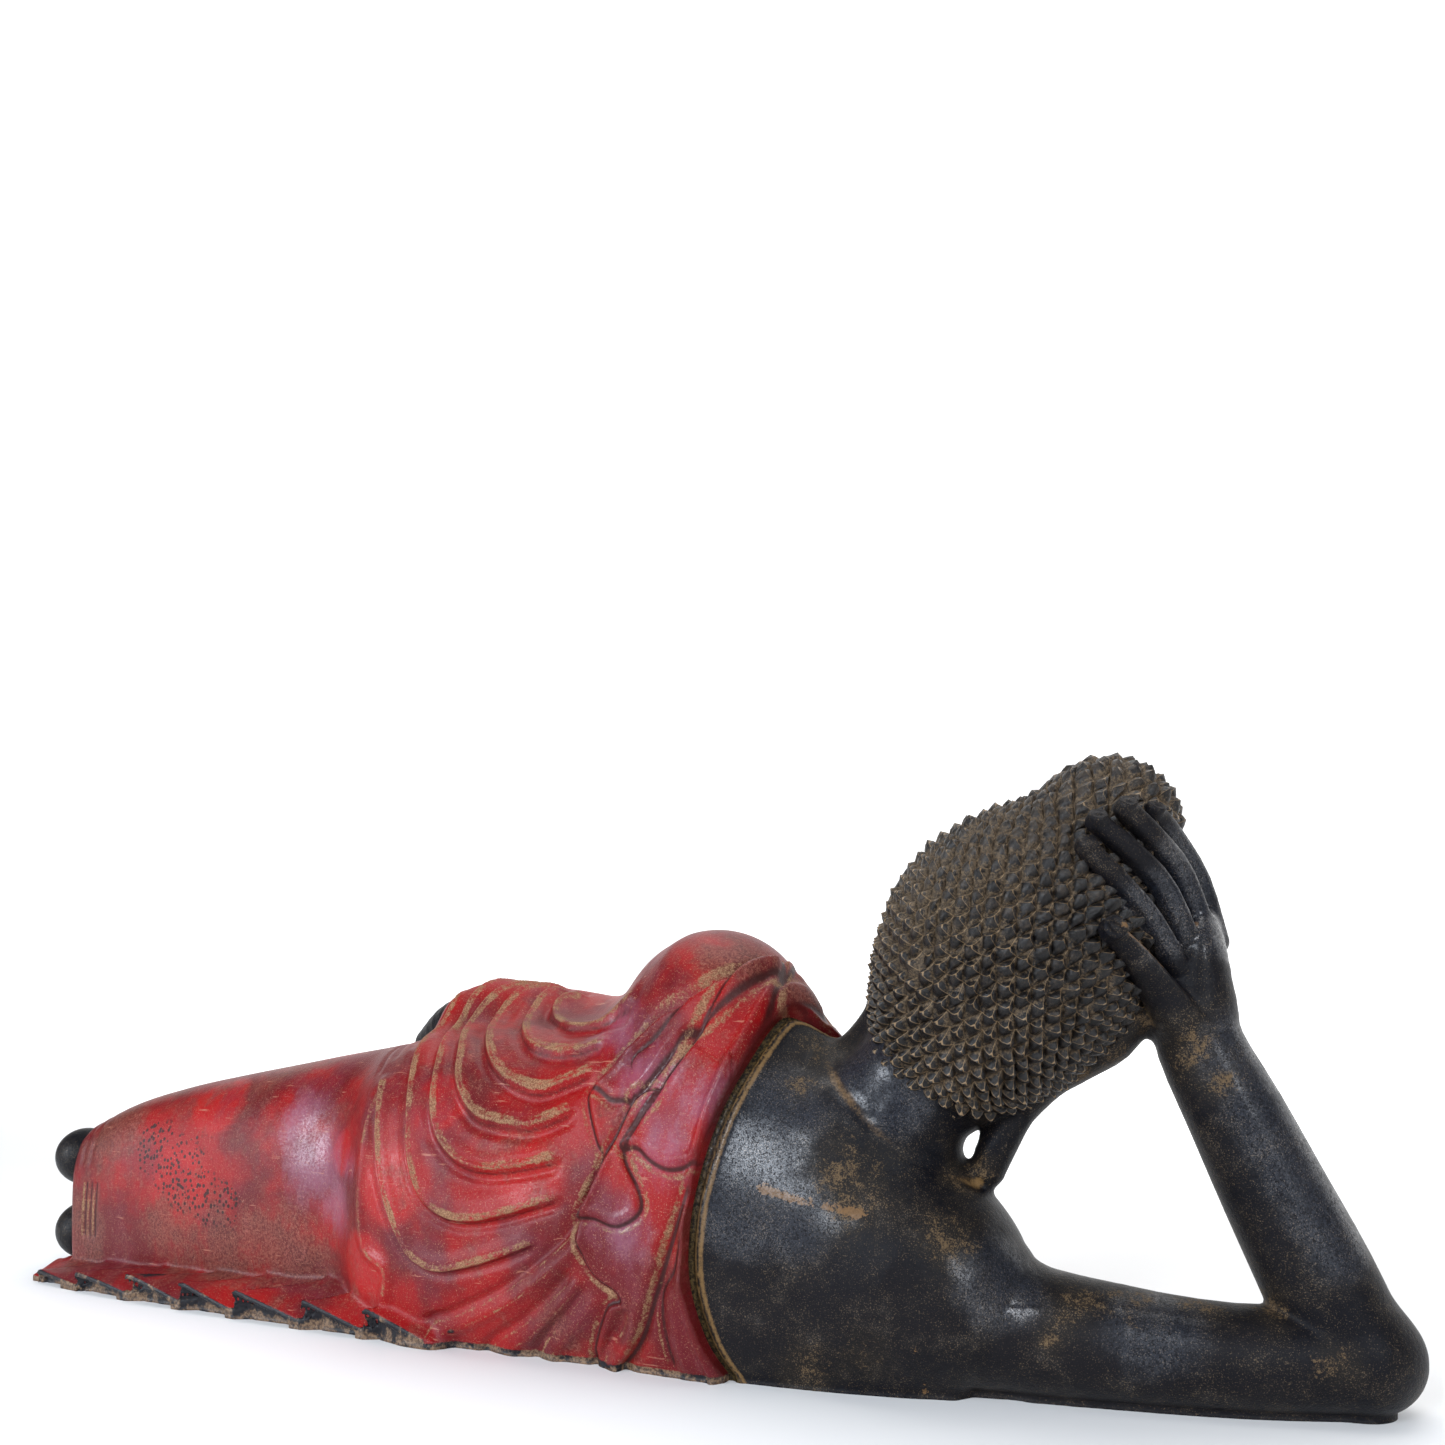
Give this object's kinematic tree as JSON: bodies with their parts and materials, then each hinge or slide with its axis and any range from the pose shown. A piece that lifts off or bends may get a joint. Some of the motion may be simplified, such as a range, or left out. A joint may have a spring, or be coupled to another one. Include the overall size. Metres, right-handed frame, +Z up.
{
  "type": "reclining buddha statue",
  "caption": "Carved and lacquered wooden deity figure lying on its right side, head resting on one hand, with a pleated robe and rows of pointed curls; rests on its flat underside",
  "frame": {"origin": "centre of the bounding box at the ground, under the hip", "axes": "+X runs along the body towards the head and elbow, +Y is the side of the face and chest, +Z is up"},
  "size_m": [1.2606, 0.252, 0.4592],
  "materials": {
    "lacquered_wood": "worn red and black lacquer, satin"
  },
  "bodies": {
    "root": {"reclining_figure": "lacquered_wood"}
  },
  "joints": []
}
